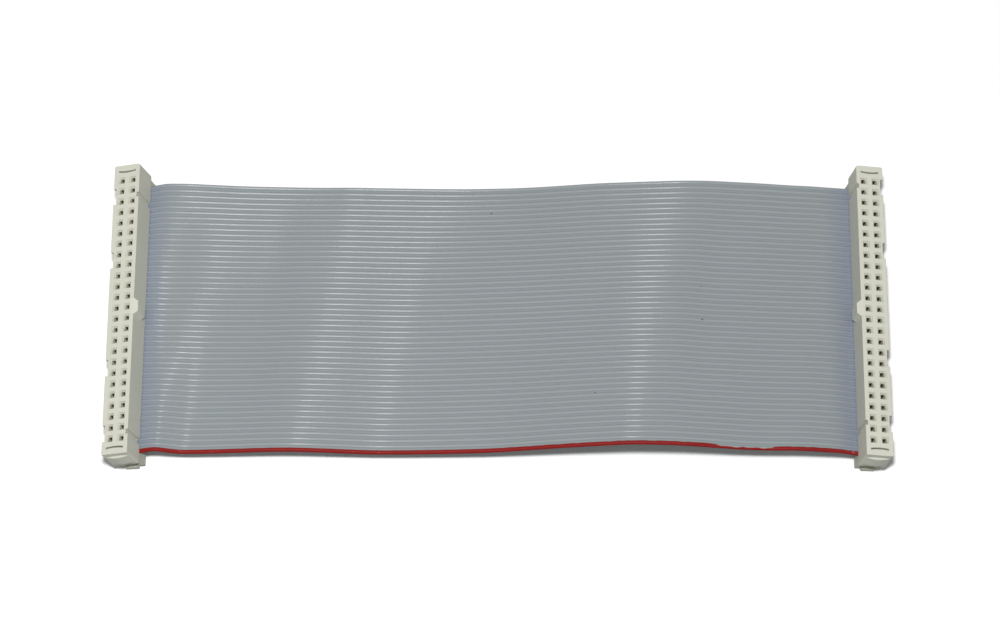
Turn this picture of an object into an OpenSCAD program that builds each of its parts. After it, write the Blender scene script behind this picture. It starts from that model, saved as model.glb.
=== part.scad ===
// Flat ribbon cable with an insulation displacement socket on each end.
// +X runs along the cable, +Y across it, +Z is up. The part lies on z = 0, with the
// middle of its length and width at the origin. The marked edge is on the -Y side.

/* [Ribbon] */
// Number of conductors, two rows of contacts take them in turn
conductors = 50; // [20:2:50]
// Distance from one conductor to the next
conductor_pitch = 1.27; // [1.2:0.01:1.3]
// Height of the insulation around one conductor
insulation_d = 0.9; // [0.8:0.02:1]
// Width of the valley between two neighbours
valley_w = 0.5; // [0.4:0.02:0.6]
// Thickness of the web in a valley
web_t = 0.36; // [0.3:0.02:0.5]
// Side of the bundle of strands in one conductor
wire_w = 0.34; // [0.28:0.01:0.36]
// Thickness of the ink on the marked edge
ink_t = 0.04; // [0.03:0.01:0.05]

/* [Course of the ribbon] */
// Lean of the left socket away from the ribbon, in degrees
left_tilt = 17.8; // [12:0.2:22]
// Lean of the right socket away from the ribbon, in degrees
right_tilt = 10.9; // [9:0.1:14]
// Straight stretch outside the left socket
left_lead = 0.4; // [0.2:0.1:3]
// Straight stretch outside the right socket
right_lead = 4; // [0.5:0.5:8]
// Radius of the hump beside the left socket
hump_r = 6; // [5:0.5:9]
// Downward slope behind that hump, in degrees
hump_fall = 7; // [5:0.5:9]
// Radius of the small dip behind the hump
dip_r = 60; // [45:5:80]
// Upward slope behind the dip, in degrees
dip_rise = 1.2; // [0.6:0.2:3]
// Straight stretch from the dip up to the swell
dip_run = 10.5; // [6:0.5:14]
// Radius of the flat swell on the left half
swell_r = 200; // [150:10:300]
// Downward slope behind the swell, in degrees
swell_fall = 2.2; // [1.6:0.2:3]
// Straight stretch from the swell down to the trough
swell_run = 24; // [15:1:30]
// Radius of the trough in the middle
trough_r = 135; // [110:5:160]
// Upward slope of the long rise, in degrees
long_rise = 8.6; // [8:0.2:10]
// Radius of the high crest on the right half
crest_r = 105; // [85:5:125]
// Downward slope behind the crest, in degrees
crest_fall = 7.1; // [6.5:0.1:8]
// Straight stretch from the crest towards the right socket
crest_run = 16; // [8:1:20]
// Radius of the last bend, in front of the right socket
last_r = 100; // [60:5:120]

/* [Socket body] */
// Width of the body across its two rows
body_w = 5.9; // [5.7:0.05:6.3]
// Depth of the body from its mating face to the ribbon
body_h = 6.5; // [6.3:0.1:7.5]
// Distance from the last contact to the end of the body
body_end = 3.6; // [3.5:0.05:4]
// Radius of the body's upright corners
corner_r = 0.35; // [0.2:0.05:0.5]
// Side of a square contact hole
hole_w = 0.9; // [0.8:0.02:1]
// Side of its funnel at the mating face
funnel_w = 1.55; // [1.4:0.05:1.7]
// Depth of the funnel
funnel_h = 0.6; // [0.4:0.05:0.8]
// How far the centre key stands out
key_out = 0.9; // [0.6:0.05:1.2]
// Width of the key where it joins the body
key_w = 3.8; // [3.2:0.1:4.4]
// Width of the key at its tip
key_tip_w = 2.3; // [1.8:0.1:2.8]
// Height of the key, down from the mating face
key_h = 4.2; // [3:0.1:5.5]
// Slope of the lead-in on top of the key, in degrees
key_slope = 13; // [8:1:20]
// Where that lead-in starts, inside the body's side
key_inset = 0.65; // [0.4:0.05:0.75]
// Width of a finger recess in the outer side
recess_w = 3.8; // [3:0.1:4.4]
// Depth of a finger recess
recess_h = 0.6; // [0.4:0.05:0.7]
// Width of a groove in the inner side
groove_w = 1.1; // [0.8:0.05:1.4]
// Depth of a groove
groove_h = 0.5; // [0.3:0.05:0.6]
// Width of the notch at the foot of a groove
notch_w = 1.4; // [1.4:0.05:1.6]
// Height of that notch
notch_h = 1.4; // [1:0.1:2]
// How far an end wall bulges out in its middle
bulge_out = 0.45; // [0.3:0.05:0.7]
// Width of the bulge
bulge_w = 5.2; // [4.6:0.1:5.4]
// Depth below the mating face at which the bulge is full
bulge_top = 1.6; // [1.4:0.1:2]
// Depth below the mating face at which the bulge ends
bulge_foot = 5.2; // [4.6:0.1:5.4]

/* [Cover] */
// Depth of the cover below the ribbon
cover_h = 3.1; // [2.8:0.1:3.6]
// How much narrower the cover is than the body, on each side
cover_inset = 0.1; // [0.05:0.05:0.3]
// How much shorter the cover is than the body, at each end
cover_short = 1.1; // [1:0.05:1.2]
// Chamfer along the foot of the cover
cover_chamfer = 0.3; // [0.2:0.05:0.5]
// Width of a latch arm
arm_w = 3.9; // [3.4:0.1:4.2]
// Thickness of a latch arm
arm_t = 0.7; // [0.5:0.05:0.75]
// How far the hook of an arm reaches out
hook_out = 0.3; // [0.2:0.02:0.4]
// Height of the hook
hook_h = 0.9; // [0.6:0.1:1.2]
// Thickness of the body above a latch pocket
pocket_roof = 1; // [0.8:0.1:1.4]
// Width of the slit in that roof
slit_w = 0.4; // [0.3:0.05:0.45]
// Length of the slit
slit_l = 4; // [3.2:0.1:4.2]
// Radius to which the slit is bowed
slit_r = 11; // [9:0.5:16]
// Width of the tab on an end of the cover
tab_w = 2.9; // [2.4:0.1:3.4]
// How far the tab stands out
tab_out = 0.55; // [0.4:0.05:0.8]
// Thickness of the tab
tab_t = 0.9; // [0.6:0.05:1.2]

/* [Contacts] */
// Thickness of the sheet that they are stamped from
strip_t = 0.35; // [0.25:0.05:0.4]
// Width of one tine that straddles a conductor
tine_w = 0.3; // [0.25:0.01:0.32]
// How far the tines reach past the ribbon
tine_past = 0.65; // [0.5:0.05:0.9]
// Width of one spring beam
beam_w = 0.38; // [0.3:0.02:0.44]
// Opening between the two beams
beam_gap = 0.9; // [0.84:0.02:0.96]
// Opening where they grip a pin
grip_gap = 0.56; // [0.5:0.02:0.6]
// Height of the plate that carries the beams
plate_h = 0.7; // [0.5:0.05:0.9]

/* [Hidden] */

// Clearance between pieces that lie in each other
clear = 0.01;
// Room for the ribbon between body and cover
seat_clear = 0.06;
// Room around a contact or an arm in its chamber
chamber_clear = 0.1;
// Overshoot of a cut past the face that it opens
past = 0.5;
// Most that a chord of the ribbon leaves its true arc
chord_error = 0.15;
// How far the cut ends of the ribbon lie inside the outer sides of the sockets
cut_back = 0.2;
sweep_fn = 96;

pins = conductors / 2;
// Distance from one contact to the next in a row, and from row to row
grid = 2 * conductor_pitch;
half_r = insulation_d / 2;
rib_w = conductor_pitch - valley_w;
first_y = -(conductors - 1) * conductor_pitch / 2;
ribbon_w = (conductors - 1) * conductor_pitch + rib_w;
half_l = (pins - 1) * grid / 2 + body_end;
body_z = half_r + seat_clear;
face_z = body_z + body_h;
cover_w = body_w - 2 * cover_inset;
cover_l = half_l - cover_short;
foot_z = -half_r - cover_h;
arm_y = cover_l - arm_t;
roof_z = face_z - pocket_roof;
// Ledge that holds a hook down, and the free height above the hook
hook_z = roof_z - hook_h - hook_out;
tine_slot = wire_w + 2 * clear;
tines_w = tine_slot + 2 * tine_w;
beam_top = face_z - funnel_h - chamber_clear - clear;
// Recesses and grooves stand between two contacts, this many of them from the middle
outer_step = floor((pins - 3) / 2);
inner_step = floor((pins - 3) / 4);
recess_ys = [for (k = [-outer_step, -inner_step, inner_step, outer_step]) (k - 0.5) * grid];
groove_ys = [for (k = [-outer_step, outer_step]) (k - 0.5) * grid];

function conductor_y(i) = first_y + (i - 1) * conductor_pitch;
function pin_y(k) = (k - (pins + 1) / 2) * grid;
// Odd conductors meet the outer row of contacts, even ones the key side
function row_x(i) = (i % 2 == 1 ? -1 : 1) * grid / 2;
function sum(v, i = 0) = i < len(v) ? v[i] + sum(v, i + 1) : 0;

// ---- course of the ribbon, in the XZ plane ----

// Height of a socket's origin when it leans by tilt and rests on its outer foot
function rest_z(tilt) =
    max((cover_w / 2 - cover_chamfer) * sin(tilt) - foot_z * cos(tilt),
        cover_w / 2 * sin(tilt) - (foot_z + cover_chamfer) * cos(tilt));

// Slopes of the stretches, and the bends that turn each slope into the next
slopes = [left_tilt, -hump_fall, dip_rise, -swell_fall, long_rise, -crest_fall, -right_tilt];
bends = [hump_r, dip_r, swell_r, trough_r, crest_r, last_r];

function side(i) = slopes[i + 1] > slopes[i] ? 1 : -1;
// Way along X and up Z from the start of bend i to where its slope is b
function bend_x(i, b) = side(i) * bends[i] * (sin(b) - sin(slopes[i]));
function bend_z(i, b) = side(i) * bends[i] * (cos(slopes[i]) - cos(b));

// Straight stretches through the sockets, and the part of them past a socket's middle
tail = body_w / 2 - cut_back;
left_run = tail + body_w / 2 + left_lead;
right_run = tail + body_w / 2 + right_lead;
bend_ids = [for (i = [0:len(bends) - 1]) i];
// The long rise is as long as it takes for both sockets to rest on z = 0
other_rise = (left_run - tail) * sin(left_tilt) + dip_run * sin(dip_rise)
           - swell_run * sin(swell_fall) - crest_run * sin(crest_fall) - (right_run - tail) * sin(right_tilt)
           + sum([for (i = bend_ids) bend_z(i, slopes[i + 1])]);
rise_run = (rest_z(right_tilt) - rest_z(left_tilt) - other_rise) / sin(long_rise);
runs = [left_run, 0, dip_run, swell_run, rise_run, crest_run, right_run];

span = sum([for (i = [0:len(runs) - 1]) runs[i] * cos(slopes[i])])
     + sum([for (i = bend_ids) bend_x(i, slopes[i + 1])])
     - tail * (cos(left_tilt) + cos(right_tilt));
// Reach of a leaning socket beyond its own origin
function reach(tilt) = body_w / 2 * cos(tilt) + face_z * sin(tilt);
left_x = (reach(left_tilt) - reach(right_tilt) - span) / 2;
right_x = left_x + span;

// Points where stretch i starts and where it ends, as [x, z]
function start(i) =
    i == 0 ? [left_x - tail * cos(left_tilt), rest_z(left_tilt) - tail * sin(left_tilt)]
           : end(i - 1) + [bend_x(i - 1, slopes[i]), bend_z(i - 1, slopes[i])];
function end(i) = start(i) + runs[i] * [cos(slopes[i]), sin(slopes[i])];

function bend_steps(i) =
    ceil(abs(slopes[i + 1] - slopes[i]) / (2 * acos(1 - chord_error / bends[i])));
function bend_slope(i, k) = slopes[i] + (slopes[i + 1] - slopes[i]) * k / bend_steps(i);

// Stations along the course, as [point, slope]
stations = [[start(0), slopes[0]],
            for (i = [0:len(runs) - 1]) each concat(
                runs[i] > 0 ? [[end(i), slopes[i]]] : [],
                i < len(bends)
                    ? [for (k = [1:bend_steps(i)]) let (b = bend_slope(i, k))
                          [end(i) + [bend_x(i, b), bend_z(i, b)], b]]
                    : [])];

function raised(s, w) = s[0] + w * [-sin(s[1]), cos(s[1])];
function moved_on(s, d) = [s[0] + d * [cos(s[1]), sin(s[1])], s[1]];

// The stations with both end ones moved outwards, for what cuts through both ends
longer = [for (k = [0:len(stations) - 1])
             k == 0 ? moved_on(stations[k], -past)
             : k == len(stations) - 1 ? moved_on(stations[k], past)
             : stations[k]];

// A band along the whole course, from w = low to w = high, that is wide in y
module band(y, wide, low, high, line = stations) {
    translate([0, y, 0]) rotate([90, 0, 0]) linear_extrude(wide, center = true)
        polygon(concat([for (s = line) raised(s, high)],
                       [for (k = [len(line) - 1:-1:0]) raised(line[k], low)]));
}

module at_left() {
    translate([left_x, 0, rest_z(left_tilt)]) rotate([0, -left_tilt, 0]) children();
}

module at_right() {
    translate([right_x, 0, rest_z(right_tilt)]) rotate([0, right_tilt, 0]) rotate([0, 0, 180])
        children();
}

// ---- ribbon ----

module ribbon_insulation() {
    color("#8f989c") difference() {
        band(0, ribbon_w, -half_r, half_r);
        for (i = [1:conductors - 1]) {
            valley_y = conductor_y(i) + conductor_pitch / 2;
            band(valley_y, valley_w, web_t / 2, half_r + past, longer);
            band(valley_y, valley_w, -half_r - past, -web_t / 2, longer);
        }
        for (i = [1:conductors])
            band(conductor_y(i), wire_w + 2 * clear, -wire_w / 2 - clear, wire_w / 2 + clear, longer);
    }
}

// Ink on the top and the outer side of the first rib
module edge_stripe() {
    edge_y = -ribbon_w / 2;
    color("#a3242a") {
        band(edge_y + rib_w / 2, rib_w, half_r, half_r + ink_t);
        band(edge_y - ink_t / 2, ink_t, -half_r / 2, half_r + ink_t);
    }
}

module conductor(i) {
    color("#c58a52") band(conductor_y(i), wire_w, -wire_w / 2, wire_w / 2);
}

// ---- socket, in its own frame: origin in the middle of the ribbon between body and
// cover, +X towards the key side, +Z towards the mating face ----

module rounded_rect(w, l, r) {
    square([w - 2 * r, l], center = true);
    square([w, l - 2 * r], center = true);
    for (x = [-1, 1], y = [-1, 1])
        translate([x * (w / 2 - r), y * (l / 2 - r)]) circle(r, $fn = 32);
}

// Plan of the body, with the finger recesses and the two grooves
module body_plan() {
    difference() {
        rounded_rect(body_w, 2 * half_l, corner_r);
        for (y = recess_ys)
            translate([-body_w / 2 - past, y - recess_w / 2]) square([past + recess_h, recess_w]);
        for (y = groove_ys)
            translate([body_w / 2 - groove_h, y - groove_w / 2])
                square([past + groove_h, groove_w]);
    }
}

// The round swelling of both end walls, coned off towards the mating face
module end_bulges() {
    r = (bulge_w * bulge_w / 4 + bulge_out * bulge_out) / (2 * bulge_out);
    for (s = [-1, 1])
        translate([0, s * (half_l + bulge_out - r), 0])
            intersection() {
                union() {
                    translate([0, 0, face_z - bulge_foot])
                        cylinder(r = r, h = bulge_foot - bulge_top, $fn = sweep_fn);
                    translate([0, 0, face_z - bulge_top])
                        cylinder(r1 = r, r2 = r - bulge_out - bulge_top, h = bulge_top, $fn = sweep_fn);
                }
                translate([-bulge_w / 2, s > 0 ? r - 2 * bulge_out : -r, 0])
                    cube([bulge_w, 2 * bulge_out, face_z]);
            }
}

module key_blank() {
    translate([0, 0, face_z - key_h]) linear_extrude(key_h)
        polygon([[body_w / 2 - key_inset, -key_w / 2], [body_w / 2, -key_w / 2],
                 [body_w / 2 + key_out, -key_tip_w / 2], [body_w / 2 + key_out, key_tip_w / 2],
                 [body_w / 2, key_w / 2], [body_w / 2 - key_inset, key_w / 2]]);
}

// What the lead-in takes off the top of the key
module key_lead_in() {
    translate([body_w / 2 - key_inset, -key_w / 2, face_z]) rotate([0, key_slope, 0])
        cube([2 * (key_inset + key_out), key_w, body_h]);
}

// Square holes with a funnel each, narrowing from the mating face
module pin_holes() {
    deep = body_h - plate_h;
    intersection() {
        rotate([90, 0, 90]) linear_extrude(body_w, center = true)
            for (k = [1:pins]) hole_section(pin_y(k), deep);
        rotate([90, 0, 0]) linear_extrude(2 * half_l, center = true)
            for (x = [-1, 1]) hole_section(x * grid / 2, deep);
    }
}

module hole_section(at, deep) {
    translate([at, face_z])
        polygon([[-hole_w / 2, -deep], [hole_w / 2, -deep], [hole_w / 2, -funnel_h],
                 [funnel_w / 2, 0], [funnel_w / 2, past], [-funnel_w / 2, past],
                 [-funnel_w / 2, 0], [-hole_w / 2, -funnel_h]]);
}

// Chambers for the contacts: narrow beside the beams, stepped towards the conductor below
module chambers() {
    beam_half = beam_gap / 2 + beam_w + chamber_clear;
    tine_half = tines_w / 2 + chamber_clear;
    slot = strip_t + 2 * chamber_clear;
    translate([0, 0, half_r - past]) linear_extrude(past + beam_top - half_r + chamber_clear)
        for (k = [1:pins], x = [-1, 1])
            translate([x * grid / 2 - slot / 2, pin_y(k) - beam_half]) square([slot, 2 * beam_half]);
    translate([0, 0, half_r - past]) linear_extrude(past + plate_h + chamber_clear)
        for (k = [1:pins], x = [-1, 1])
            translate([x * grid / 2 - slot / 2, pin_y(k) + x * conductor_pitch / 2 - tine_half])
                square([slot, 2 * tine_half]);
}

// Pockets for the latch arms, with the slit that shows in the mating face
module latch_pockets() {
    for (s = [0, 180]) rotate([0, 0, s]) {
        translate([-arm_w / 2 - chamber_clear, arm_y - chamber_clear, half_r - past])
            cube([arm_w + 2 * chamber_clear, arm_t + 2 * chamber_clear,
                  past + roof_z - half_r]);
        translate([-arm_w / 2 - chamber_clear, arm_y + arm_t, hook_z])
            cube([arm_w + 2 * chamber_clear, hook_out + chamber_clear, roof_z - hook_z]);
        translate([-tab_w / 2, arm_y + arm_t, half_r - past])
            cube([tab_w, half_l - arm_y, past + face_z - half_r - bulge_foot]);
        translate([0, 0, roof_z - past]) linear_extrude(pocket_roof + 2 * past)
            intersection() {
                translate([0, arm_y + slit_w / 2 + slit_r]) difference() {
                    circle(slit_r + slit_w / 2, $fn = sweep_fn);
                    circle(slit_r - slit_w / 2, $fn = sweep_fn);
                }
                translate([-slit_l / 2, arm_y - past]) square([slit_l, arm_t + 2 * past]);
            }
    }
}

module socket_body() {
    color("#c9cabb") difference() {
        union() {
            translate([0, 0, body_z]) linear_extrude(face_z - body_z) body_plan();
            end_bulges();
            key_blank();
        }
        key_lead_in();
        pin_holes();
        chambers();
        latch_pockets();
        for (y = groove_ys)
            translate([body_w / 2 - groove_h, y - notch_w / 2, body_z - past])
                cube([groove_h + past, notch_w, past + notch_h]);
    }
}

// Seat of the ribbon in the cover, where every rib lies in a groove of its own
module seat_section() {
    for (i = [1:conductors])
        translate([conductor_y(i) - rib_w / 2 - seat_clear, -half_r - seat_clear])
            square([rib_w + 2 * seat_clear, insulation_d]);
    translate([-ribbon_w / 2 - 2 * seat_clear, -web_t / 2 - seat_clear])
        square([ribbon_w + 4 * seat_clear, cover_h]);
}

module cover() {
    slot = strip_t + 2 * chamber_clear;
    bevel = cover_chamfer * sqrt(2);
    color("#c2c3b4") difference() {
        union() {
            rotate([90, 0, 90]) linear_extrude(cover_w, center = true) difference() {
                translate([-cover_l, foot_z]) square([2 * cover_l, body_z - foot_z]);
                seat_section();
            }
            for (s = [0, 180]) rotate([0, 0, s]) {
                translate([-arm_w / 2, 0, 0]) rotate([90, 0, 90]) linear_extrude(arm_w)
                    polygon([[arm_y, foot_z + cover_h / 2], [arm_y + arm_t, foot_z + cover_h / 2],
                             [arm_y + arm_t, hook_z + clear], [arm_y + arm_t + hook_out, hook_z + clear],
                             [arm_y + arm_t, hook_z + clear + hook_h], [arm_y, hook_z + clear + hook_h]]);
                translate([-tab_w / 2, cover_l - past, foot_z]) cube([tab_w, past + tab_out, tab_t]);
            }
        }
        for (i = [1:conductors])
            translate([row_x(i) - slot / 2, conductor_y(i) - tines_w / 2 - chamber_clear,
                       -half_r - tine_past - chamber_clear])
                cube([slot, tines_w + 2 * chamber_clear, cover_h]);
        for (x = [-1, 1])
            translate([x * cover_w / 2, 0, foot_z]) rotate([0, 45, 0])
                cube([bevel, 2 * half_l + 2 * past, bevel], center = true);
    }
}

// One contact, flat in y and z: two beams that grip a pin, two tines that straddle a
// conductor beside it. The plane z = 0 is the middle of the ribbon.
module contact_outline(to_conductor) {
    top = beam_top;
    base = half_r + plate_h;
    outer = beam_gap / 2 + beam_w;
    for (s = [-1, 1])
        polygon([[s * outer, base - plate_h / 2], [s * outer, top], [s * (grip_gap / 2 + beam_w / 2), top],
                 [s * grip_gap / 2, top - beam_w], [s * grip_gap / 2, top - 2 * beam_w],
                 [s * beam_gap / 2, top - 4 * beam_w], [s * beam_gap / 2, base - plate_h / 2]]);
    translate([-outer, half_r]) square([2 * outer, plate_h]);
    translate([to_conductor, 0]) {
        translate([-tines_w / 2, half_r]) square([tines_w, plate_h]);
        for (s = [-1, 1])
            polygon([[s * tines_w / 2, half_r], [s * tines_w / 2, -half_r - tine_past + tine_w],
                     [s * (tines_w / 2 - tine_w / 3), -half_r - tine_past],
                     [s * tine_slot / 2, -half_r - tine_past + 2 * tine_w], [s * tine_slot / 2, half_r]]);
    }
}

// A row of contacts: side is +1 on the key side and -1 on the outer side
module contact_row(side) {
    color("#b98a4a") translate([side * grid / 2, 0, 0])
        for (k = [1:pins]) translate([0, pin_y(k), 0])
            rotate([90, 0, 90]) linear_extrude(strip_t, center = true)
                contact_outline(side * conductor_pitch / 2);
}

ribbon_insulation();
edge_stripe();
at_left() socket_body();  // left_socket_body
at_left() cover();  // left_socket_cover
at_left() contact_row(-1);  // left_outer_contacts
at_left() contact_row(1);  // left_inner_contacts
at_right() socket_body();  // right_socket_body
at_right() cover();  // right_socket_cover
at_right() contact_row(-1);  // right_outer_contacts
at_right() contact_row(1);  // right_inner_contacts
for (i = [1:conductors])
    conductor(i);
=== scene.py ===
import math
import bmesh
import bpy
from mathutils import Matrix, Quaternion, Vector


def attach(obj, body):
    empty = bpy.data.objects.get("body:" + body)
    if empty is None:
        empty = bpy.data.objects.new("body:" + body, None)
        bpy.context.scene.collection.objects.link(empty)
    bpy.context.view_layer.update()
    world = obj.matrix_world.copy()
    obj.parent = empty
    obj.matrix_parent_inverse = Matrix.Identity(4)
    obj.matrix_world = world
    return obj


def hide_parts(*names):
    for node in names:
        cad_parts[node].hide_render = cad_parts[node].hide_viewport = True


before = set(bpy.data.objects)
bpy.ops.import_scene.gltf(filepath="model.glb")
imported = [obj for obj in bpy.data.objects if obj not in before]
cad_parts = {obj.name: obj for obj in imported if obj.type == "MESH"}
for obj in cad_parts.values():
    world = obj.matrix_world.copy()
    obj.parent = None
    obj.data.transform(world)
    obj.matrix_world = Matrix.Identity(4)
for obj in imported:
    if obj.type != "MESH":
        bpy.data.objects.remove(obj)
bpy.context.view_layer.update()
mm = 0.001


def toLinear(hexColour):
    # an sRGB hex value as linear red, green, blue and alpha
    values = [int(hexColour[i:i + 2], 16) / 255 for i in (1, 3, 5)]
    return [v / 12.92 if v <= 0.04045 else ((v + 0.055) / 1.055) ** 2.4 for v in values] + [1.0]


def addNode(tree, kind, sockets=None, **settings):
    # a node with its settings; another node or its socket becomes a link, anything else a value
    node = tree.nodes.new(kind)
    for name, value in settings.items():
        setattr(node, name, value)
    for key, value in (sockets or {}).items():
        if isinstance(value, bpy.types.Node):
            value = value.outputs[0]
        if isinstance(value, bpy.types.NodeSocket):
            tree.links.new(value, node.inputs[key])
        else:
            node.inputs[key].default_value = value
    return node


def newMaterial(name):
    material = bpy.data.materials.new(name)
    material.use_nodes = True
    material.node_tree.nodes.clear()
    return material, material.node_tree


def millimetrePoint(tree):
    # object coordinates in millimetres, so that a noise scale is one over its grain size
    place = addNode(tree, "ShaderNodeTexCoord").outputs["Object"]
    return addNode(tree, "ShaderNodeMapping", {"Vector": place, "Scale": (1 / mm, 1 / mm, 1 / mm)})


def extrudedPvc():
    # flexible PVC from a hot die: grey, half gloss, with faint draw lines and a little dust, and
    # painted shade in the valleys between the ribs and beside the sockets
    # the web colour and the darker blue beside the sockets are painted shade, not the PVC's own
    # colour
    look = {"colour": "#969c9e", "shade": "#909698", "socketShade": "#7d8492", "web": "#888f91",
            "dust": "#5a5f60", "cloud": 22.0, "drawLine": 0.5, "drawnOut": 0.25, "swell": 0.8,
            "socketShadeFrom": 70.0, "socketShadeTo": 79.0, "dustSpacing": 11.0, "dustShare": 0.02,
            "pitch": 1.27, "webFrom": 0.16, "webTo": 0.34}
    material, tree = newMaterial("extrudedPvc")
    point = millimetrePoint(tree)
    cloud = addNode(tree, "ShaderNodeTexNoise",
                    {"Vector": point, "Scale": 1 / look["cloud"], "Detail": 3.0})
    grey = addNode(tree, "ShaderNodeMix",
                   {0: cloud, 6: toLinear(look["colour"]), 7: toLinear(look["shade"])},
                   data_type="RGBA")
    place = addNode(tree, "ShaderNodeSeparateXYZ", {0: point}).outputs
    # painted shade: the webs between the ribs, down in the valleys, are coloured darker where shade
    # would fall; a rib's middle lies half a pitch from y = 0
    pitches = addNode(tree, "ShaderNodeMath", {0: place[1], 1: look["pitch"]}, operation="DIVIDE")
    phase = addNode(tree, "ShaderNodeMath", {0: pitches}, operation="FRACT")
    beside = addNode(tree, "ShaderNodeMath", {0: phase, 1: 0.5}, operation="SUBTRACT")
    fromRib = addNode(tree, "ShaderNodeMath", {0: beside}, operation="ABSOLUTE")
    inValleyShade = addNode(tree, "ShaderNodeMapRange",
                    {0: fromRib, 1: look["webFrom"], 2: look["webTo"]},
                    interpolation_type="SMOOTHSTEP")
    valleyShaded = addNode(tree, "ShaderNodeMix",
                     {0: inValleyShade, 6: grey.outputs[2], 7: toLinear(look["web"])}, data_type="RGBA")
    # painted shade: the insulation is coloured darker and bluer over the last few millimetres before
    # the sockets, where their walls shade it
    fromMiddle = addNode(tree, "ShaderNodeMath", {0: place[0]}, operation="ABSOLUTE")
    inSocketShade = addNode(tree, "ShaderNodeMapRange",
                         {0: fromMiddle, 1: look["socketShadeFrom"], 2: look["socketShadeTo"]},
                         interpolation_type="SMOOTHSTEP")
    socketShaded = addNode(tree, "ShaderNodeMix",
                     {0: inSocketShade, 6: valleyShaded.outputs[2], 7: toLinear(look["socketShade"])},
                     data_type="RGBA")
    # a few dark grains of dust, up to 0.44 mm across
    cells = addNode(tree, "ShaderNodeTexVoronoi",
                    {"Vector": point, "Scale": 1 / look["dustSpacing"]})
    grain = addNode(tree, "ShaderNodeMath", {0: cells.outputs["Distance"], 1: look["dustShare"]},
                    operation="LESS_THAN")
    dusty = addNode(tree, "ShaderNodeMix",
                    {0: grain, 6: socketShaded.outputs[2], 7: toLinear(look["dust"])}, data_type="RGBA")
    # draw lines along the cable, and small swells where the lay of the strands shows through
    stretched = addNode(tree, "ShaderNodeMapping",
                        {"Vector": point, "Scale": (look["drawnOut"], 1.0, 1.0)})
    lines = addNode(tree, "ShaderNodeTexNoise",
                    {"Vector": stretched, "Scale": 1 / look["drawLine"], "Detail": 2.0})
    swells = addNode(tree, "ShaderNodeTexNoise",
                     {"Vector": point, "Scale": 1 / look["swell"], "Detail": 1.0})
    drawn = addNode(tree, "ShaderNodeBump",
                    {"Height": lines, "Strength": 0.4, "Distance": 0.03 * mm})
    bump = addNode(tree, "ShaderNodeBump",
                   {"Height": swells, "Strength": 0.5, "Distance": 0.04 * mm, "Normal": drawn})
    # the fine draw lines spread the shine across the cable more than along it
    acrossCable = addNode(tree, "ShaderNodeCombineXYZ", {1: 1.0})
    shader = addNode(tree, "ShaderNodeBsdfPrincipled", {
        "Base Color": dusty.outputs[2], "Roughness": 0.25, "IOR": 1.53, "Specular IOR Level": 0.12,
        "Anisotropic": 0.85, "Tangent": acrossCable, "Coat Weight": 0.03, "Coat Roughness": 0.13,
        "Coat IOR": 1.5, "Normal": bump, "Coat Normal": bump})
    addNode(tree, "ShaderNodeOutputMaterial", {"Surface": shader})
    return material


def stripeInk():
    # solvent ink rolled on the edge: thin, red, nearly matt, with pinholes where it did not take
    look = {"colour": "#8f2624", "deep": "#7b1d1b", "missed": "#c9b4b0", "cloud": 6.0,
            "pinhole": 0.45, "missedAbove": 0.79}
    material, tree = newMaterial("stripeInk")
    point = millimetrePoint(tree)
    cloud = addNode(tree, "ShaderNodeTexNoise",
                    {"Vector": point, "Scale": 1 / look["cloud"], "Detail": 4.0})
    red = addNode(tree, "ShaderNodeMix",
                  {0: cloud, 6: toLinear(look["colour"]), 7: toLinear(look["deep"])},
                  data_type="RGBA")
    holes = addNode(tree, "ShaderNodeTexNoise",
                    {"Vector": point, "Scale": 1 / look["pinhole"], "Detail": 1.0})
    missed = addNode(tree, "ShaderNodeMath", {0: holes, 1: look["missedAbove"]},
                     operation="GREATER_THAN")
    colour = addNode(tree, "ShaderNodeMix",
                     {0: missed, 6: red.outputs[2], 7: toLinear(look["missed"])}, data_type="RGBA")
    bump = addNode(tree, "ShaderNodeBump",
                   {"Height": holes, "Strength": 0.3, "Distance": 0.03 * mm})
    shader = addNode(tree, "ShaderNodeBsdfPrincipled", {
        "Base Color": colour.outputs[2], "Roughness": 0.48, "IOR": 1.5,
        "Specular IOR Level": 0.08, "Normal": bump})
    addNode(tree, "ShaderNodeOutputMaterial", {"Surface": shader})
    return material


def mouldedPolyester(name, colour, shade):
    # glass-filled polyester from a spark-eroded mould: matt, pale, with a fine grain and flow clouds
    look = {"cloud": 9.0, "grain": 0.3, "edgeRadius": 0.12}
    material, tree = newMaterial(name)
    point = millimetrePoint(tree)
    cloud = addNode(tree, "ShaderNodeTexNoise",
                    {"Vector": point, "Scale": 1 / look["cloud"], "Detail": 3.0})
    body = addNode(tree, "ShaderNodeMix", {0: cloud, 6: toLinear(colour), 7: toLinear(shade)},
                   data_type="RGBA")
    grain = addNode(tree, "ShaderNodeTexNoise",
                    {"Vector": point, "Scale": 1 / look["grain"], "Detail": 3.0})
    # moulded edges aren't quite sharp
    rounded = addNode(tree, "ShaderNodeBevel", {"Radius": look["edgeRadius"] * mm}, samples=6)
    bump = addNode(tree, "ShaderNodeBump",
                   {"Height": grain, "Strength": 0.3, "Distance": 0.04 * mm, "Normal": rounded})
    shader = addNode(tree, "ShaderNodeBsdfPrincipled", {
        "Base Color": body.outputs[2], "Roughness": 0.5, "IOR": 1.57, "Normal": bump})
    addNode(tree, "ShaderNodeOutputMaterial", {"Surface": shader})
    return material


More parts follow.
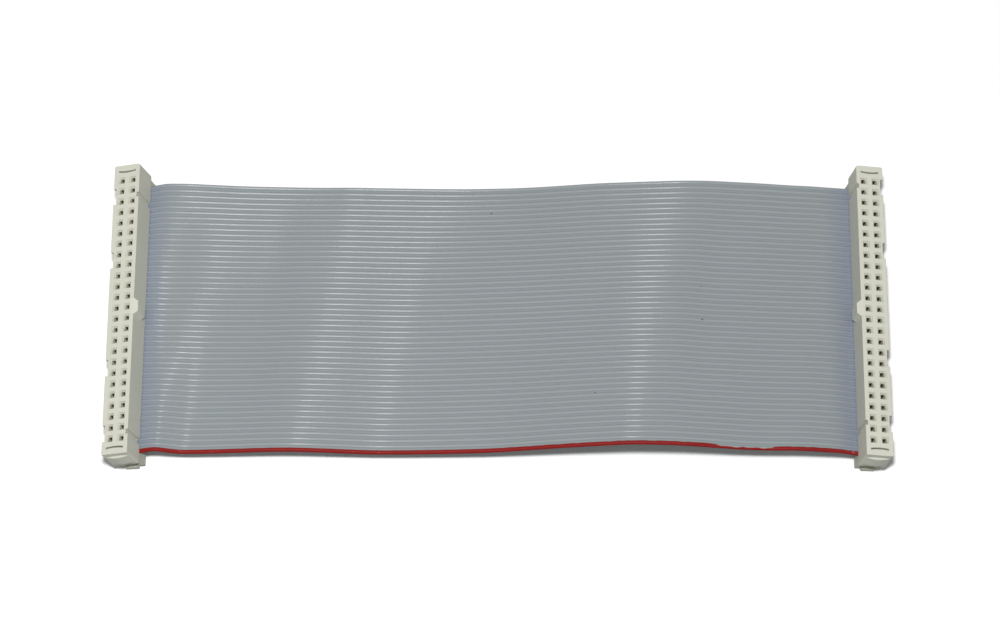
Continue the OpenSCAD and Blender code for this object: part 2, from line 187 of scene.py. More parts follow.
def goldFlashedBronze():
    # phosphor bronze sheet, stamped and flashed with gold: warm, with fine rolling marks
    look = {"colour": "#ad8a5c", "dull": "#6f5a3f", "stain": 0.8, "mark": 0.12}
    material, tree = newMaterial("goldFlashedBronze")
    point = millimetrePoint(tree)
    stain = addNode(tree, "ShaderNodeTexNoise",
                    {"Vector": point, "Scale": 1 / look["stain"], "Detail": 2.0})
    colour = addNode(tree, "ShaderNodeMix",
                     {0: stain, 6: toLinear(look["colour"]), 7: toLinear(look["dull"])},
                     data_type="RGBA")
    marks = addNode(tree, "ShaderNodeTexNoise",
                    {"Vector": point, "Scale": 1 / look["mark"], "Detail": 1.0})
    bump = addNode(tree, "ShaderNodeBump",
                   {"Height": marks, "Strength": 0.2, "Distance": 0.01 * mm})
    shader = addNode(tree, "ShaderNodeBsdfPrincipled", {
        "Base Color": colour.outputs[2], "Metallic": 1.0, "Roughness": 0.32, "Normal": bump})
    addNode(tree, "ShaderNodeOutputMaterial", {"Surface": shader})
    return material


def bareCopper():
    # drawn and stranded copper wire, cut off: reddish, with the lay of the strands
    look = {"colour": "#c9835a", "dull": "#8f5334", "lay": 0.3}
    material, tree = newMaterial("bareCopper")
    point = millimetrePoint(tree)
    lay = addNode(tree, "ShaderNodeTexNoise",
                  {"Vector": point, "Scale": 1 / look["lay"], "Detail": 1.0})
    colour = addNode(tree, "ShaderNodeMix",
                     {0: lay, 6: toLinear(look["colour"]), 7: toLinear(look["dull"])},
                     data_type="RGBA")
    bump = addNode(tree, "ShaderNodeBump", {"Height": lay, "Strength": 0.3, "Distance": 0.02 * mm})
    shader = addNode(tree, "ShaderNodeBsdfPrincipled", {
        "Base Color": colour.outputs[2], "Metallic": 1.0, "Roughness": 0.35, "Normal": bump})
    addNode(tree, "ShaderNodeOutputMaterial", {"Surface": shader})
    return material


pvc = extrudedPvc()
ink = stripeInk()
bodyPlastic = mouldedPolyester("mouldedPolyesterBody", "#cbccbe", "#c4c5b6")
coverPlastic = mouldedPolyester("mouldedPolyesterCover", "#c3c4b6", "#bbbcad")
contactMetal = goldFlashedBronze()
wireMetal = bareCopper()
print("materials made")


# the ribbon's middle line: straight and bent stretches in turn, in millimetres and degrees, as the
# solids have them
course = {"start": (-81.8968, 3.3189),
          "slopes": (17.8, -7.0, 1.2, -2.2, 8.6, -7.1, -10.9),
          "radii": (6.0, 60.0, 200.0, 135.0, 105.0, 100.0),
          "runs": (6.1, 0.0, 10.5, 24.0, 15.49, 16.0, 9.7)}


def courseLine(step):
    # points of the ribbon's middle line from the left cut end to the right one
    x, z = course["start"]
    points = [(x, z)]
    for i, run in enumerate(course["runs"]):
        slope = math.radians(course["slopes"][i])
        count = math.ceil(run / step)
        for _ in range(count):
            x += run / count * math.cos(slope)
            z += run / count * math.sin(slope)
            points.append((x, z))
        if i == len(course["radii"]):
            break
        nextSlope = math.radians(course["slopes"][i + 1])
        radius = math.copysign(course["radii"][i], nextSlope - slope)
        count = math.ceil(abs((nextSlope - slope) * radius) / step)
        for k in range(1, count + 1):
            turned = slope + (nextSlope - slope) * k / count
            points.append((x + radius * (math.sin(turned) - math.sin(slope)),
                           z + radius * (math.cos(slope) - math.cos(turned))))
        x, z = points[-1]
    return points


# the lying ribbon isn't quite even: how much higher than the course its edges and its middle lie at
# places along x, in millimetres; from edge to edge the waves run aslant
# these heights are the output of a separate fitting program and weren't chosen by hand, apart
# from the last three striped ones and the last two middle ones
unevenness = {
    "places": (-84, -74, -68, -62, -56, -50, -44, -38, -32, -26, -20, -14, -8, -2, 4, 10, 16, 22,
               28, 34, 40, 46, 52, 58, 64, 70, 86),
    "striped": (0.91, 0.91, -0.38, -0.28, 0.1, 0.55, 0.85, 0.64, 0.24, -0.01, 0.28, 0.67, 0.9,
                1.07, 1.4, 1.68, 1.89, 1.89, 1.93, 1.46, 0.89, 0.13, -0.32, -0.07, 0.62, 0.6, 0.6),
    "middle": (-0.36, -0.36, 0.07, -0.27, -0.44, -0.42, 0.15, 0.46, 0.43, 0.29, 0.32, 0.66, 0.94,
               1.13, 1.05, 0.83, 0.73, 0.59, 0.55, 0.49, 0.28, -0.53, -0.42, -0.27, 0, 0.3, 0.3),
    "far": (1.3, 1.3, 1.52, 0.83, 0.13, -0.28, -0.43, -0.3, 0, -0.03, 0.04, 0.01, -0.16, -0.33,
            -0.62, -0.8, -0.77, -0.77, -0.95, -0.83, -0.47, -0.23, -0.21, -0.16, -0.28, -0.18,
            -0.18),
    "slant": 0.15, "calmFrom": 5.8, "calmTo": 10.0}


def heightAt(heights, x):
    # a smooth line through the heights at the places, and nothing beyond them
    places = unevenness["places"]
    if x <= places[0] or x >= places[-1]:
        return 0.0
    i = max(k for k in range(len(places) - 1) if places[k] <= x)
    first, last = max(i - 1, 0), min(i + 2, len(places) - 1)
    width = places[i + 1] - places[i]
    before = (heights[i + 1] - heights[first]) / (places[i + 1] - places[first]) * width
    after = (heights[last] - heights[i]) / (places[last] - places[i]) * width
    t = (x - places[i]) / width
    return ((2 * t ** 3 - 3 * t ** 2 + 1) * heights[i] + (t ** 3 - 2 * t ** 2 + t) * before
            + (3 * t ** 2 - 2 * t ** 3) * heights[i + 1] + (t ** 3 - t ** 2) * after)


def lineObject(name, step):
    # the course as a line of edges, whose points know how much higher the ribbon lies there
    points = courseLine(step)
    mesh = bpy.data.meshes.new(name)
    mesh.from_pydata([(x * mm, 0.0, z * mm) for x, z in points],
                     [(i, i + 1) for i in range(len(points) - 1)], [])
    for label in ("striped", "middle", "far"):
        lifts = mesh.attributes.new(label, "FLOAT", "POINT")
        lifts.data.foreach_set("value", [heightAt(unevenness[label], x) * mm for x, _ in points])
    piece = bpy.data.objects.new(name, mesh)
    bpy.context.scene.collection.objects.link(piece)
    return piece


def treeWithInputs(name, sizes):
    # a Geometry Nodes tree with a named input for each size, and one for the material
    kinds = {int: "NodeSocketInt", float: "NodeSocketFloat"}
    tree = bpy.data.node_groups.new(name, "GeometryNodeTree")
    tree.interface.new_socket("Geometry", in_out="INPUT", socket_type="NodeSocketGeometry")
    for label, value in sizes.items():
        socket = tree.interface.new_socket(label, in_out="INPUT", socket_type=kinds[type(value)])
        socket.default_value = value
    tree.interface.new_socket("Material", in_out="INPUT", socket_type="NodeSocketMaterial")
    tree.interface.new_socket("Geometry", in_out="OUTPUT", socket_type="NodeSocketGeometry")
    return tree, addNode(tree, "NodeGroupInput").outputs


def unevenOffset(tree, fineCurve, length, given):
    # how far a point of the swept ribbon moves up, from its place along and across
    place = addNode(tree, "GeometryNodeInputPosition")
    across = addNode(tree, "ShaderNodeSeparateXYZ", {0: place}).outputs[1]
    # nothing moves at the sockets, which hold the ribbon
    total = addNode(tree, "GeometryNodeCurveLength", {0: fineCurve})
    toEnd = addNode(tree, "ShaderNodeMath", {0: total, 1: length}, operation="SUBTRACT")
    freeAtStart = addNode(tree, "ShaderNodeMapRange",
                          {0: length, 1: given["Calm From"], 2: given["Calm To"]},
                          interpolation_type="SMOOTHSTEP")
    freeAtEnd = addNode(tree, "ShaderNodeMapRange",
                        {0: toEnd, 1: given["Calm From"], 2: given["Calm To"]},
                        interpolation_type="SMOOTHSTEP")
    free = addNode(tree, "ShaderNodeMath", {0: freeAtStart, 1: freeAtEnd}, operation="MULTIPLY")
    # the three lines share a point between them by a parabola across the ribbon
    share = addNode(tree, "ShaderNodeMath", {0: across, 1: given["Half Width"]},
                    operation="DIVIDE")
    squared = addNode(tree, "ShaderNodeMath", {0: share, 1: share}, operation="MULTIPLY")
    less = addNode(tree, "ShaderNodeMath", {0: squared, 1: share}, operation="SUBTRACT")
    more = addNode(tree, "ShaderNodeMath", {0: squared, 1: share}, operation="ADD")
    weights = {
        "striped": addNode(tree, "ShaderNodeMath", {0: less, 1: 0.5}, operation="MULTIPLY"),
        "middle": addNode(tree, "ShaderNodeMath", {0: 1.0, 1: squared}, operation="SUBTRACT"),
        "far": addNode(tree, "ShaderNodeMath", {0: more, 1: 0.5}, operation="MULTIPLY")}
    lifted = 0.0
    for label, side in (("striped", -1.0), ("middle", 0.0), ("far", 1.0)):
        line = addNode(tree, "ShaderNodeMath", {0: given["Half Width"], 1: side},
                       operation="MULTIPLY")
        fromLine = addNode(tree, "ShaderNodeMath", {0: line, 1: across}, operation="SUBTRACT")
        aslant = addNode(tree, "ShaderNodeMath", {0: fromLine, 1: given["Slant"]},
                         operation="MULTIPLY")
        where = addNode(tree, "ShaderNodeMath", {0: length, 1: aslant}, operation="ADD")
        lift = addNode(tree, "GeometryNodeInputNamedAttribute", {"Name": label}, data_type="FLOAT")
        height = addNode(tree, "GeometryNodeSampleCurve",
                         {"Curves": fineCurve, "Value": lift, "Length": where},
                         mode="LENGTH", data_type="FLOAT").outputs["Value"]
        part = addNode(tree, "ShaderNodeMath", {0: height, 1: weights[label]},
                       operation="MULTIPLY")
        lifted = addNode(tree, "ShaderNodeMath", {0: lifted, 1: part}, operation="ADD")
    up = addNode(tree, "ShaderNodeMath", {0: lifted, 1: free}, operation="MULTIPLY")
    return addNode(tree, "ShaderNodeCombineXYZ", {2: up})


def sweptAlong(tree, fineCurve, section, given):
    # the section swept along the course, with each point's length along it kept for the unevenness
    steps = addNode(tree, "GeometryNodeResampleCurve",
                    {"Curve": fineCurve, "Length": given["Step"]}, mode="LENGTH")
    keep = addNode(tree, "GeometryNodeCaptureAttribute", {"Geometry": steps})
    keep.capture_items.new("FLOAT", "Length")
    along = addNode(tree, "GeometryNodeSplineParameter").outputs["Length"]
    tree.links.new(along, keep.inputs["Length"])
    swept = addNode(tree, "GeometryNodeCurveToMesh",
                    {"Curve": keep, "Profile Curve": section, "Fill Caps": True})
    return swept, keep.outputs["Length"]


def closedLoop(tree, count, x, y):
    # a closed curve of count points, whose places follow from their index
    line = addNode(tree, "GeometryNodeMeshLine", {"Count": count})
    place = addNode(tree, "ShaderNodeCombineXYZ", {0: x, 1: y})
    placed = addNode(tree, "GeometryNodeSetPosition", {"Geometry": line, "Position": place})
    curve = addNode(tree, "GeometryNodeMeshToCurve", {0: placed})
    return addNode(tree, "GeometryNodeSetSplineCyclic", {"Geometry": curve, "Cyclic": True})


def outAndBack(tree, half, count):
    # the points of a loop run out along its first half and back along its second one: whether a
    # point is on the way back, and how many points it lies from the start
    index = addNode(tree, "GeometryNodeInputIndex")
    turning = addNode(tree, "ShaderNodeMath", {0: half, 1: 0.5}, operation="SUBTRACT")
    backing = addNode(tree, "ShaderNodeMath", {0: index, 1: turning}, operation="GREATER_THAN")
    lastPoint = addNode(tree, "ShaderNodeMath", {0: count, 1: 1.0}, operation="SUBTRACT")
    fromLast = addNode(tree, "ShaderNodeMath", {0: lastPoint, 1: index}, operation="SUBTRACT")
    wayBack = addNode(tree, "ShaderNodeMath", {0: backing, 1: fromLast}, operation="MULTIPLY")
    going = addNode(tree, "ShaderNodeMath", {0: 1.0, 1: backing}, operation="SUBTRACT")
    wayOut = addNode(tree, "ShaderNodeMath", {0: going, 1: index}, operation="MULTIPLY")
    fromStart = addNode(tree, "ShaderNodeMath", {0: wayBack, 1: wayOut}, operation="ADD")
    return backing, fromStart


def smoothAndFinish(tree, geometry, sharpAngle, material):
    angle = addNode(tree, "GeometryNodeInputMeshEdgeAngle")
    sharp = addNode(tree, "FunctionNodeCompare", {0: angle, 1: sharpAngle},
                    operation="GREATER_THAN")
    smooth = addNode(tree, "GeometryNodeSetShadeSmooth", {0: geometry, "Shade Smooth": True},
                     domain="FACE")
    creased = addNode(tree, "GeometryNodeSetShadeSmooth",
                      {0: smooth, "Selection": sharp, "Shade Smooth": False}, domain="EDGE")
    real = addNode(tree, "GeometryNodeRealizeInstances", {0: creased})
    painted = addNode(tree, "GeometryNodeSetMaterial", {0: real, "Material": material})
    addNode(tree, "NodeGroupOutput", {0: painted})


def evaluated(piece, tree, sizes, material):
    # the object's Geometry Nodes result as a plain mesh, with its modifier gone
    values = dict(sizes, Material=material)
    modifier = piece.modifiers.new("shape", "NODES")
    modifier.node_group = tree
    for socket in tree.interface.items_tree:
        if socket.item_type == "SOCKET" and socket.in_out == "INPUT" and socket.name in values:
            modifier[socket.identifier] = values[socket.name]
    graph = bpy.context.evaluated_depsgraph_get()
    mesh = bpy.data.meshes.new_from_object(piece.evaluated_get(graph))
    piece.modifiers.clear()
    mesh.name = piece.name
    piece.data = mesh
    shell = bmesh.new()
    shell.from_mesh(mesh)
    bmesh.ops.recalc_face_normals(shell, faces=shell.faces)
    shell.to_mesh(mesh)
    shell.free()
    print(piece.name, len(mesh.polygons), "faces")
    return piece


ribbon = {"conductors": 50, "pitch": 1.27, "ribRadius": 0.45, "web": 0.36, "facetsPerRib": 7,
          "step": 1.5, "fineStep": 0.25, "sharpAngle": 40}

# what the insulation, the wires and the ink need to follow the uneven ribbon
unevenSizes = {"Half Width": ribbon["conductors"] * ribbon["pitch"] / 2 * mm,
               "Slant": unevenness["slant"],
               "Calm From": unevenness["calmFrom"] * mm,
               "Calm To": unevenness["calmTo"] * mm}


def insulationTree(sizes):
    # one closed outline, over the tops of all the ribs and webs and back underneath, swept along
    # the course
    tree, given = treeWithInputs("ribbedInsulation", sizes)
    fineCurve = addNode(tree, "GeometryNodeMeshToCurve", {0: given["Geometry"]})
    perRib = addNode(tree, "ShaderNodeMath", {0: given["Facets"], 1: 1.0}, operation="ADD")
    half = addNode(tree, "ShaderNodeMath", {0: given["Conductors"], 1: perRib},
                   operation="MULTIPLY")
    count = addNode(tree, "ShaderNodeMath", {0: half, 1: 2.0}, operation="MULTIPLY")
    under, along = outAndBack(tree, half, count)
    # which rib a point is on, and which corner of the rib it is
    inside = addNode(tree, "ShaderNodeMath", {0: along, 1: 0.5}, operation="ADD")
    ribs = addNode(tree, "ShaderNodeMath", {0: inside, 1: perRib}, operation="DIVIDE")
    rib = addNode(tree, "ShaderNodeMath", {0: ribs}, operation="FLOOR")
    earlier = addNode(tree, "ShaderNodeMath", {0: rib, 1: perRib}, operation="MULTIPLY")
    corner = addNode(tree, "ShaderNodeMath", {0: along, 1: earlier}, operation="SUBTRACT")
    # a rib's arc starts and ends where its circle meets the webs
    halfWeb = addNode(tree, "ShaderNodeMath", {0: given["Web"], 1: 0.5}, operation="MULTIPLY")
    webSine = addNode(tree, "ShaderNodeMath", {0: halfWeb, 1: given["Rib Radius"]},
                      operation="DIVIDE")
    lowest = addNode(tree, "ShaderNodeMath", {0: webSine}, operation="ARCSINE")
    bothEnds = addNode(tree, "ShaderNodeMath", {0: lowest, 1: 2.0}, operation="MULTIPLY")
    arc = addNode(tree, "ShaderNodeMath", {0: math.pi, 1: bothEnds}, operation="SUBTRACT")
    arcs = addNode(tree, "ShaderNodeMath", {0: arc, 1: corner}, operation="MULTIPLY")
    turned = addNode(tree, "ShaderNodeMath", {0: arcs, 1: given["Facets"]}, operation="DIVIDE")
    turn = addNode(tree, "ShaderNodeMath", {0: lowest, 1: turned}, operation="ADD")
    # across the ribbon
    lastRib = addNode(tree, "ShaderNodeMath", {0: given["Conductors"], 1: 1.0},
                      operation="SUBTRACT")
    halfWay = addNode(tree, "ShaderNodeMath", {0: lastRib, 1: 0.5}, operation="MULTIPLY")
    fromMiddle = addNode(tree, "ShaderNodeMath", {0: rib, 1: halfWay}, operation="SUBTRACT")
    ribPlace = addNode(tree, "ShaderNodeMath", {0: fromMiddle, 1: given["Pitch"]},
                       operation="MULTIPLY")
    cosine = addNode(tree, "ShaderNodeMath", {0: turn}, operation="COSINE")
    leftwards = addNode(tree, "ShaderNodeMath", {0: given["Rib Radius"], 1: -1.0},
                        operation="MULTIPLY")
    beside = addNode(tree, "ShaderNodeMath", {0: cosine, 1: leftwards}, operation="MULTIPLY")
    x = addNode(tree, "ShaderNodeMath", {0: ribPlace, 1: beside}, operation="ADD")
    # up on the way out, down on the way back
    twice = addNode(tree, "ShaderNodeMath", {0: under, 1: 2.0}, operation="MULTIPLY")
    sign = addNode(tree, "ShaderNodeMath", {0: 1.0, 1: twice}, operation="SUBTRACT")
    sine = addNode(tree, "ShaderNodeMath", {0: turn}, operation="SINE")
    height = addNode(tree, "ShaderNodeMath", {0: sine, 1: given["Rib Radius"]},
                     operation="MULTIPLY")
    y = addNode(tree, "ShaderNodeMath", {0: height, 1: sign}, operation="MULTIPLY")
    section = closedLoop(tree, count, x, y)
    swept, length = sweptAlong(tree, fineCurve, section, given)
    offset = unevenOffset(tree, fineCurve, length, given)
    moved = addNode(tree, "GeometryNodeSetPosition", {"Geometry": swept, "Offset": offset})
    smoothAndFinish(tree, moved, math.radians(ribbon["sharpAngle"]), given["Material"])
    return tree


insulationSizes = dict(unevenSizes, **{
    "Step": ribbon["step"] * mm, "Conductors": ribbon["conductors"], "Pitch": ribbon["pitch"] * mm,
    "Rib Radius": ribbon["ribRadius"] * mm, "Web": ribbon["web"] * mm,
    "Facets": ribbon["facetsPerRib"]})
insulation = evaluated(lineObject("ribbonInsulation", ribbon["fineStep"]),
                       insulationTree(insulationSizes), insulationSizes, pvc)
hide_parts("ribbon_insulation")
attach(insulation, "root")


wire = {"step": 3.0, "bundleRadius": 0.19, "groove": 0.04, "strands": 6, "sharpAngle": 50}


def wiresTree(sizes):
    # an untwisted wire in every rib, all of one repeated sweep; its fluted outline stands for the
    # six strands that lie round a seventh
    tree, given = treeWithInputs("strandedWires", sizes)
    fineCurve = addNode(tree, "GeometryNodeMeshToCurve", {0: given["Geometry"]})
    index = addNode(tree, "GeometryNodeInputIndex")
    count = addNode(tree, "ShaderNodeMath", {0: given["Strands"], 1: 2.0}, operation="MULTIPLY")
    oneTurn = addNode(tree, "ShaderNodeMath", {0: 2 * math.pi, 1: count}, operation="DIVIDE")
    turn = addNode(tree, "ShaderNodeMath", {0: index, 1: oneTurn}, operation="MULTIPLY")
    between = addNode(tree, "ShaderNodeMath", {0: index, 1: 2.0}, operation="MODULO")
    depth = addNode(tree, "ShaderNodeMath", {0: between, 1: given["Groove"]},
                    operation="MULTIPLY")
    radius = addNode(tree, "ShaderNodeMath", {0: given["Bundle Radius"], 1: depth},
                     operation="SUBTRACT")
    cosine = addNode(tree, "ShaderNodeMath", {0: turn}, operation="COSINE")
    sine = addNode(tree, "ShaderNodeMath", {0: turn}, operation="SINE")
    x = addNode(tree, "ShaderNodeMath", {0: cosine, 1: radius}, operation="MULTIPLY")
    y = addNode(tree, "ShaderNodeMath", {0: sine, 1: radius}, operation="MULTIPLY")
    section = closedLoop(tree, count, x, y)
    swept, length = sweptAlong(tree, fineCurve, section, given)
    kept = addNode(tree, "GeometryNodeStoreNamedAttribute",
                   {"Geometry": swept, "Name": "along", "Value": length})
    # the row of wires, from the striped edge to the far one
    gap = addNode(tree, "ShaderNodeCombineXYZ", {1: given["Pitch"]})
    lastWire = addNode(tree, "ShaderNodeMath", {0: given["Conductors"], 1: 1.0},
                       operation="SUBTRACT")
    halfPitch = addNode(tree, "ShaderNodeMath", {0: given["Pitch"], 1: -0.5},
                        operation="MULTIPLY")
    edge = addNode(tree, "ShaderNodeMath", {0: lastWire, 1: halfPitch}, operation="MULTIPLY")
    start = addNode(tree, "ShaderNodeCombineXYZ", {1: edge})
    row = addNode(tree, "GeometryNodeMeshLine",
                  {"Count": given["Conductors"], "Offset": gap, "Start Location": start})
    wires = addNode(tree, "GeometryNodeInstanceOnPoints", {"Points": row, "Instance": kept})
    real = addNode(tree, "GeometryNodeRealizeInstances", {0: wires})
    stored = addNode(tree, "GeometryNodeInputNamedAttribute", {"Name": "along"})
    offset = unevenOffset(tree, fineCurve, stored, given)
    moved = addNode(tree, "GeometryNodeSetPosition", {"Geometry": real, "Offset": offset})
    smoothAndFinish(tree, moved, math.radians(wire["sharpAngle"]), given["Material"])
    return tree


wireSizes = dict(unevenSizes, **{
    "Step": wire["step"] * mm, "Conductors": ribbon["conductors"], "Pitch": ribbon["pitch"] * mm,
    "Bundle Radius": wire["bundleRadius"] * mm, "Groove": wire["groove"] * mm,
    "Strands": wire["strands"]})
wires = evaluated(lineObject("conductorWires", ribbon["fineStep"]), wiresTree(wireSizes),
                  wireSizes, wireMetal)
wireNodes = ["conductor_" + str(i + 1) for i in range(ribbon["conductors"])]
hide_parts(*wireNodes)
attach(wires, "root")


# lengths in millimetres, angles in degrees; the places where the edge grows rough and where the ink
# runs thin are lengths along the cable
stripe = {"thickness": 0.03, "root": 0.06, "lowAngle": -14, "highAngle": 138, "facets": 10,
          "ragged": 1.5, "raggedLength": 2.2, "raggedLeast": 0.2, "roughFrom": 76.0,
          "roughFull": 100.0, "thinning": 62, "thinFrom": 127.5, "thinTo": 140.5, "thinRamp": 3.0,
          "step": 0.4, "sharpAngle": 50}


def inkTree(sizes):
    # a skin round the first rib, from its outer side over the top to a ragged line on the far side
    tree, given = treeWithInputs("inkSkin", sizes)
    fineCurve = addNode(tree, "GeometryNodeMeshToCurve", {0: given["Geometry"]})
    half = addNode(tree, "ShaderNodeMath", {0: given["Facets"], 1: 1.0}, operation="ADD")
    count = addNode(tree, "ShaderNodeMath", {0: half, 1: 2.0}, operation="MULTIPLY")
    inner, corner = outAndBack(tree, half, count)
    # the outer side of the skin runs out, and its root inside the rib runs back
    share = addNode(tree, "ShaderNodeMath", {0: corner, 1: given["Facets"]}, operation="DIVIDE")
    outside = addNode(tree, "ShaderNodeMath", {0: given["Rib Radius"], 1: given["Thickness"]},
                      operation="ADD")
    depth = addNode(tree, "ShaderNodeMath", {0: inner, 1: given["Root"]}, operation="MULTIPLY")
    radius = addNode(tree, "ShaderNodeMath", {0: outside, 1: depth}, operation="SUBTRACT")
    arc = addNode(tree, "ShaderNodeMath", {0: given["High Angle"], 1: given["Low Angle"]},
                  operation="SUBTRACT")
    turned = addNode(tree, "ShaderNodeMath", {0: share, 1: arc}, operation="MULTIPLY")
    turn = addNode(tree, "ShaderNodeMath", {0: given["Low Angle"], 1: turned}, operation="ADD")
    cosine = addNode(tree, "ShaderNodeMath", {0: turn}, operation="COSINE")
    beside = addNode(tree, "ShaderNodeMath", {0: cosine, 1: radius}, operation="MULTIPLY")
    x = addNode(tree, "ShaderNodeMath", {0: beside, 1: given["Rib Y"]}, operation="SUBTRACT")
    sine = addNode(tree, "ShaderNodeMath", {0: turn}, operation="SINE")
    height = addNode(tree, "ShaderNodeMath", {0: sine, 1: radius}, operation="MULTIPLY")
    y = addNode(tree, "ShaderNodeMath", {0: height, 1: -1.0}, operation="MULTIPLY")
    section = closedLoop(tree, count, x, y)
    marked = addNode(tree, "GeometryNodeStoreNamedAttribute",
                     {"Geometry": section, "Name": "share", "Value": share})
    swept, length = sweptAlong(tree, fineCurve, marked, given)
    # the last of the arc is turned on or back about the rib by a noise along the cable
    waves = addNode(tree, "ShaderNodeMath", {0: length, 1: given["Ragged Length"]},
                    operation="DIVIDE")
    noise = addNode(tree, "ShaderNodeTexNoise", {"W": waves, "Scale": 1.0, "Detail": 3.0},
                    noise_dimensions="1D")
    swing = addNode(tree, "ShaderNodeMath", {0: 0.5, 1: noise}, operation="SUBTRACT")
    rough = addNode(tree, "ShaderNodeMapRange",
                    {0: length, 1: given["Rough From"], 2: given["Rough Full"]},
                    interpolation_type="SMOOTHSTEP")
    roughness = addNode(tree, "ShaderNodeMath", {0: given["Ragged Least"], 1: rough},
                        operation="ADD")
    strength = addNode(tree, "ShaderNodeMath", {0: given["Ragged"], 1: roughness},
                       operation="MULTIPLY")
    sway = addNode(tree, "ShaderNodeMath", {0: swing, 1: strength}, operation="MULTIPLY")
    # a stretch where the ink ran thin and covers less of the rib
    thinFull = addNode(tree, "ShaderNodeMath", {0: given["Thin From"], 1: given["Thin Ramp"]},
                       operation="ADD")
    thinOver = addNode(tree, "ShaderNodeMath", {0: given["Thin To"], 1: given["Thin Ramp"]},
                       operation="ADD")
    thinStarted = addNode(tree, "ShaderNodeMapRange",
                          {0: length, 1: given["Thin From"], 2: thinFull},
                          interpolation_type="SMOOTHSTEP")
    thinEnded = addNode(tree, "ShaderNodeMapRange",
                        {0: length, 1: given["Thin To"], 2: thinOver},
                        interpolation_type="SMOOTHSTEP")
    thin = addNode(tree, "ShaderNodeMath", {0: thinStarted, 1: thinEnded}, operation="SUBTRACT")
    missing = addNode(tree, "ShaderNodeMath", {0: thin, 1: given["Thinning"]},
                      operation="MULTIPLY")
    turnBack = addNode(tree, "ShaderNodeMath", {0: sway, 1: missing}, operation="ADD")
    stored = addNode(tree, "GeometryNodeInputNamedAttribute", {"Name": "share"})
    angle = addNode(tree, "ShaderNodeMath", {0: stored, 1: turnBack}, operation="MULTIPLY")
    sample = addNode(tree, "GeometryNodeSampleCurve", {"Curves": fineCurve, "Length": length},
                     mode="LENGTH").outputs
    aside = addNode(tree, "ShaderNodeCombineXYZ", {1: given["Rib Y"]})
    axis = addNode(tree, "ShaderNodeVectorMath", {0: sample["Position"], 1: aside},
                   operation="ADD")
    place = addNode(tree, "GeometryNodeInputPosition")
    rotated = addNode(tree, "ShaderNodeVectorRotate",
                      {"Vector": place, "Center": axis, "Axis": sample["Tangent"],
                       "Angle": angle}, rotation_type="AXIS_ANGLE")
    ragged = addNode(tree, "GeometryNodeSetPosition", {"Geometry": swept, "Position": rotated})
    offset = unevenOffset(tree, fineCurve, length, given)
    moved = addNode(tree, "GeometryNodeSetPosition", {"Geometry": ragged, "Offset": offset})
    smoothAndFinish(tree, moved, math.radians(stripe["sharpAngle"]), given["Material"])
    return tree


inkSizes = dict(unevenSizes, **{
    "Step": stripe["step"] * mm, "Rib Y": -(ribbon["conductors"] - 1) / 2 * ribbon["pitch"] * mm,
    "Rib Radius": ribbon["ribRadius"] * mm, "Thickness": stripe["thickness"] * mm,
    "Root": stripe["root"] * mm, "Low Angle": math.radians(stripe["lowAngle"]),
    "High Angle": math.radians(stripe["highAngle"]), "Facets": stripe["facets"],
    "Ragged": stripe["ragged"], "Ragged Length": stripe["raggedLength"] * mm,
    "Ragged Least": stripe["raggedLeast"], "Rough From": stripe["roughFrom"] * mm,
    "Rough Full": stripe["roughFull"] * mm, "Thinning": math.radians(stripe["thinning"]),
    "Thin From": stripe["thinFrom"] * mm, "Thin To": stripe["thinTo"] * mm,
    "Thin Ramp": stripe["thinRamp"] * mm})
inkSkin = evaluated(lineObject("edgeInk", ribbon["fineStep"]), inkTree(inkSizes), inkSizes, ink)
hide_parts("edge_stripe")
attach(inkSkin, "root")
print("ribbon made")


# the solids of the sockets show themselves and only get their materials
plainNodes = {"left_socket_body": bodyPlastic, "right_socket_body": bodyPlastic,
              "left_socket_cover": coverPlastic, "right_socket_cover": coverPlastic,
              "left_outer_contacts": contactMetal, "left_inner_contacts": contactMetal,
              "right_outer_contacts": contactMetal, "right_inner_contacts": contactMetal}
for node, material in plainNodes.items():
    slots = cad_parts[node].material_slots
    for slot in slots:
        slot.material = material
print("sockets dressed")


studio = {"floorSize": 3.0, "floorWhite": "#fdfdfd", "floorBounce": "#b4b4b4", "floorGlow": 0.035,
          "ambient": 0.2, "lampSize": 0.09, "lampPlace": (-0.017, -0.21, 0.855),
          "lampAim": (-0.45, 0.3, 0.0), "lampPower": 8.25}


def makeFloor():
    half = studio["floorSize"] / 2
    mesh = bpy.data.meshes.new("floor")
    mesh.from_pydata([(-half, -half, 0), (half, -half, 0), (half, half, 0), (-half, half, 0)],
                     [], [(0, 1, 2, 3)])
    floor = bpy.data.objects.new("floor", mesh)
    bpy.context.scene.collection.objects.link(floor)
    material, tree = newMaterial("whitePaperSweep")
    # the camera sees white paper, lifted a little; a grey one sends less light up at the part
    seen = addNode(tree, "ShaderNodeLightPath").outputs["Is Camera Ray"]
    shade = addNode(tree, "ShaderNodeMix",
                    {0: seen, 6: toLinear(studio["floorBounce"]),
                     7: toLinear(studio["floorWhite"])}, data_type="RGBA")
    paper = addNode(tree, "ShaderNodeBsdfDiffuse", {"Color": shade.outputs[2]})
    strength = addNode(tree, "ShaderNodeMath", {0: seen, 1: studio["floorGlow"]},
                       operation="MULTIPLY")
    glow = addNode(tree, "ShaderNodeEmission", {"Strength": strength})
    both = addNode(tree, "ShaderNodeAddShader", {0: paper, 1: glow})
    addNode(tree, "ShaderNodeOutputMaterial", {"Surface": both})
    mesh.materials.append(material)


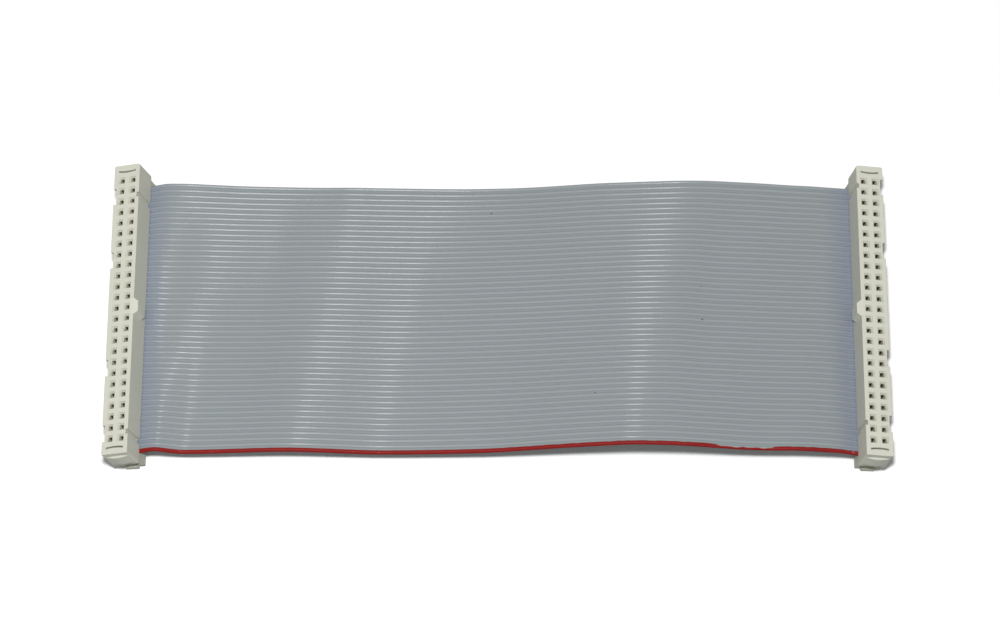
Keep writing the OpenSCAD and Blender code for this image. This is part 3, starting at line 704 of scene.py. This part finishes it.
def makeWorld():
    world = bpy.data.worlds.new("whiteRoom")
    world.use_nodes = True
    tree = world.node_tree
    tree.nodes.clear()
    # white to the camera and in reflections, dim as a light
    path = addNode(tree, "ShaderNodeLightPath").outputs
    mirrored = addNode(tree, "ShaderNodeMath",
                       {0: path["Is Glossy Ray"], 1: path["Is Transmission Ray"]},
                       operation="MAXIMUM")
    seen = addNode(tree, "ShaderNodeMath", {0: path["Is Camera Ray"], 1: mirrored},
                   operation="MAXIMUM")
    strength = addNode(tree, "ShaderNodeMix", {0: seen, 2: studio["ambient"], 3: 1.0},
                       data_type="FLOAT")
    background = addNode(tree, "ShaderNodeBackground",
                         {"Color": (1.0, 1.0, 1.0, 1.0), "Strength": strength})
    addNode(tree, "ShaderNodeOutputWorld", {"Surface": background})
    bpy.context.scene.world = world


def makeLamp():
    lamp = bpy.data.lights.new("softbox", "AREA")
    lamp.shape = "SQUARE"
    lamp.size = studio["lampSize"]
    lamp.energy = studio["lampPower"]
    holder = bpy.data.objects.new("softbox", lamp)
    holder.location = studio["lampPlace"]
    # turned a little to the left, so the light falls off to the right
    along = Vector(studio["lampAim"]) - Vector(studio["lampPlace"])
    holder.rotation_euler = along.to_track_quat("-Z", "Y").to_euler()
    bpy.context.scene.collection.objects.link(holder)


view = {"lens": 137.65, "sensor": 36.0, "azimuth": 0.5305, "elevation": 66.303, "roll": -0.3634,
        "distance": 0.83648, "target": (0.4353 * mm, 2.5878 * mm, 0.0)}


def makeCamera():
    camera = bpy.data.cameras.new("camera")
    camera.lens = view["lens"]
    camera.sensor_width = view["sensor"]
    holder = bpy.data.objects.new("camera", camera)
    around, height = math.radians(view["azimuth"]), math.radians(view["elevation"])
    back = Vector((math.sin(around) * math.cos(height), -math.cos(around) * math.cos(height),
                   math.sin(height)))
    holder.location = Vector(view["target"]) + back * view["distance"]
    turn = (-back).to_track_quat("-Z", "Y")
    holder.rotation_mode = "QUATERNION"
    holder.rotation_quaternion = turn @ Quaternion((0, 0, 1), math.radians(view["roll"]))
    bpy.context.scene.collection.objects.link(holder)
    bpy.context.scene.camera = holder


makeFloor()
makeWorld()
makeLamp()
makeCamera()
bpy.context.scene.view_settings.view_transform = "Standard"
print("studio made")
